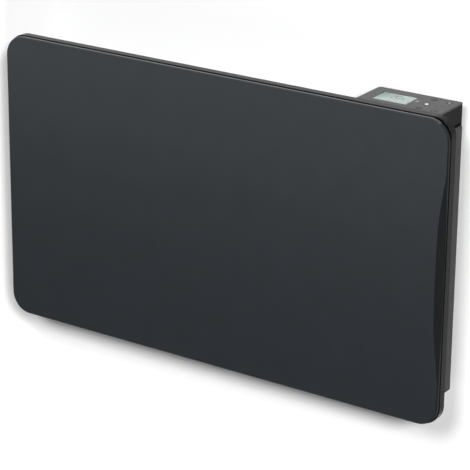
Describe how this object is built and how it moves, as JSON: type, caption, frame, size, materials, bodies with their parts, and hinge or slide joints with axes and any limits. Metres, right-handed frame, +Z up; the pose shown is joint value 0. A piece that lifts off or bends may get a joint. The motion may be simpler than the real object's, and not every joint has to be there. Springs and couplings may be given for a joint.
{
  "type": "electric storage radiator",
  "caption": "Wall-hung electric storage radiator: flat front panel over a pressed shell, brick heat core in a rear casing, control box with display, and a hook-on wall bracket.",
  "frame": {"origin": "on the wall plane, at the centre of the bracket's four wall holes", "axes": "+X along the wall, to the right of someone who faces the radiator; +Y into the wall; +Z up"},
  "size_m": [0.778, 0.108, 0.459],
  "materials": {
    "panel_paint": "satin",
    "shell_paint": "satin",
    "casing_paint": "satin",
    "box_plastic": "fine texture",
    "fascia_plastic": "fine texture",
    "key_plastic": "fine texture",
    "display_face": "clear",
    "display_body": "gloss",
    "light_guide": "translucent",
    "switch_black": "gloss",
    "rocker_plastic": "gloss",
    "zinc_steel": "zinc plated",
    "fastener_zinc": "bright zinc",
    "bracket_steel": "powder coat",
    "radiant_black": "matt",
    "element_steel": "annealed",
    "brick": "rough",
    "mineral_wool": "fibrous",
    "felt": "felt",
    "heating_foil": "film",
    "steatite": "unglazed",
    "cutout_body": "unglazed",
    "probe_steel": "bright",
    "circuit_board": "solder resist",
    "board_nylon": "nylon",
    "relay_case": "moulded",
    "supply_case": "moulded",
    "terminal_green": "moulded",
    "sink_aluminium": "extruded",
    "gland_nylon": "nylon",
    "grommet_rubber": "matt",
    "tact_body": "moulded"
  },
  "bodies": {
    "radiator": {"front_panel": "panel_paint", "front_shell": "shell_paint", "rear_casing": "casing_paint", "control_housing": "box_plastic", "control_fascia": "fascia_plastic", "display_lens": "display_face", "display_module": "display_body", "status_light": "light_guide", "switch_body": "switch_black", "chassis_plate": "zinc_steel", "shell_pillars": "zinc_steel", "heat_shield": "zinc_steel", "core_tray": "zinc_steel", "top_clamp": "zinc_steel", "core_straps": "zinc_steel", "bay_divider": "zinc_steel", "panel_screws": "fastener_zinc", "chassis_screws": "fastener_zinc", "core_bolts": "fastener_zinc", "core_rivets": "fastener_zinc", "box_screws": "fastener_zinc", "board_screws": "fastener_zinc", "bracket_arm_left": "bracket_steel", "bracket_arm_right": "bracket_steel", "bracket_bar_lower": "bracket_steel", "bracket_bar_upper": "bracket_steel", "radiant_plate": "radiant_black", "lower_element": "element_steel", "upper_element": "element_steel", "rear_bricks": "brick", "front_bricks": "brick", "rear_insulation": "mineral_wool", "film_felt": "felt", "heating_film": "heating_foil", "element_bushes": "steatite", "core_standoffs": "steatite", "panel_spacers": "steatite", "thermal_cutout": "cutout_body", "core_probe": "probe_steel", "room_sensor": "probe_steel", "power_board": "circuit_board", "control_board": "circuit_board", "board_posts": "board_nylon", "power_relays": "relay_case", "supply_module": "supply_case", "terminal_block": "terminal_green", "heat_sink": "sink_aluminium", "cable_gland": "gland_nylon", "gland_locknut": "gland_nylon", "sensor_grommet": "grommet_rubber", "tact_switches": "tact_body"},
    "key_mode": {"key_mode": "key_plastic"},
    "key_power": {"key_power": "key_plastic"},
    "key_up": {"key_up": "key_plastic"},
    "key_select": {"key_select": "key_plastic"},
    "key_down": {"key_down": "key_plastic"},
    "switch_rocker": {"switch_rocker": "rocker_plastic"},
    "bracket_latch_left": {"bracket_latch_left": "fastener_zinc"},
    "bracket_latch_right": {"bracket_latch_right": "fastener_zinc"}
  },
  "joints": [
    {"name": "key_mode_press", "type": "slide", "parent": "radiator", "child": "key_mode", "axis": [0, 0.0264, -0.9997], "range_m": [0, 0.0007], "stiffness_N_per_m": 400, "springref_m": -0.002},
    {"name": "key_power_press", "type": "slide", "parent": "radiator", "child": "key_power", "axis": [0, 0.0264, -0.9997], "range_m": [0, 0.0007], "stiffness_N_per_m": 400, "springref_m": -0.002},
    {"name": "key_up_press", "type": "slide", "parent": "radiator", "child": "key_up", "axis": [0, 0.0264, -0.9997], "range_m": [0, 0.0007], "stiffness_N_per_m": 400, "springref_m": -0.002},
    {"name": "key_select_press", "type": "slide", "parent": "radiator", "child": "key_select", "axis": [0, 0.0264, -0.9997], "range_m": [0, 0.0007], "stiffness_N_per_m": 400, "springref_m": -0.002},
    {"name": "key_down_press", "type": "slide", "parent": "radiator", "child": "key_down", "axis": [0, 0.0264, -0.9997], "range_m": [0, 0.0007], "stiffness_N_per_m": 400, "springref_m": -0.002},
    {"name": "switch_tip", "type": "hinge", "parent": "radiator", "child": "switch_rocker", "pos_m": [0.228, -0.05415, 0.21435], "axis": [0, 0, 1], "range_deg": [0, 20]},
    {"name": "latch_turn_left", "type": "hinge", "parent": "radiator", "child": "bracket_latch_left", "pos_m": [-0.2, -0.012, 0.1467], "axis": [0, 0, 1], "range_deg": [0, 90]},
    {"name": "latch_turn_right", "type": "hinge", "parent": "radiator", "child": "bracket_latch_right", "pos_m": [0.2, -0.012, 0.1467], "axis": [0, 0, 1], "range_deg": [0, 90]}
  ]
}
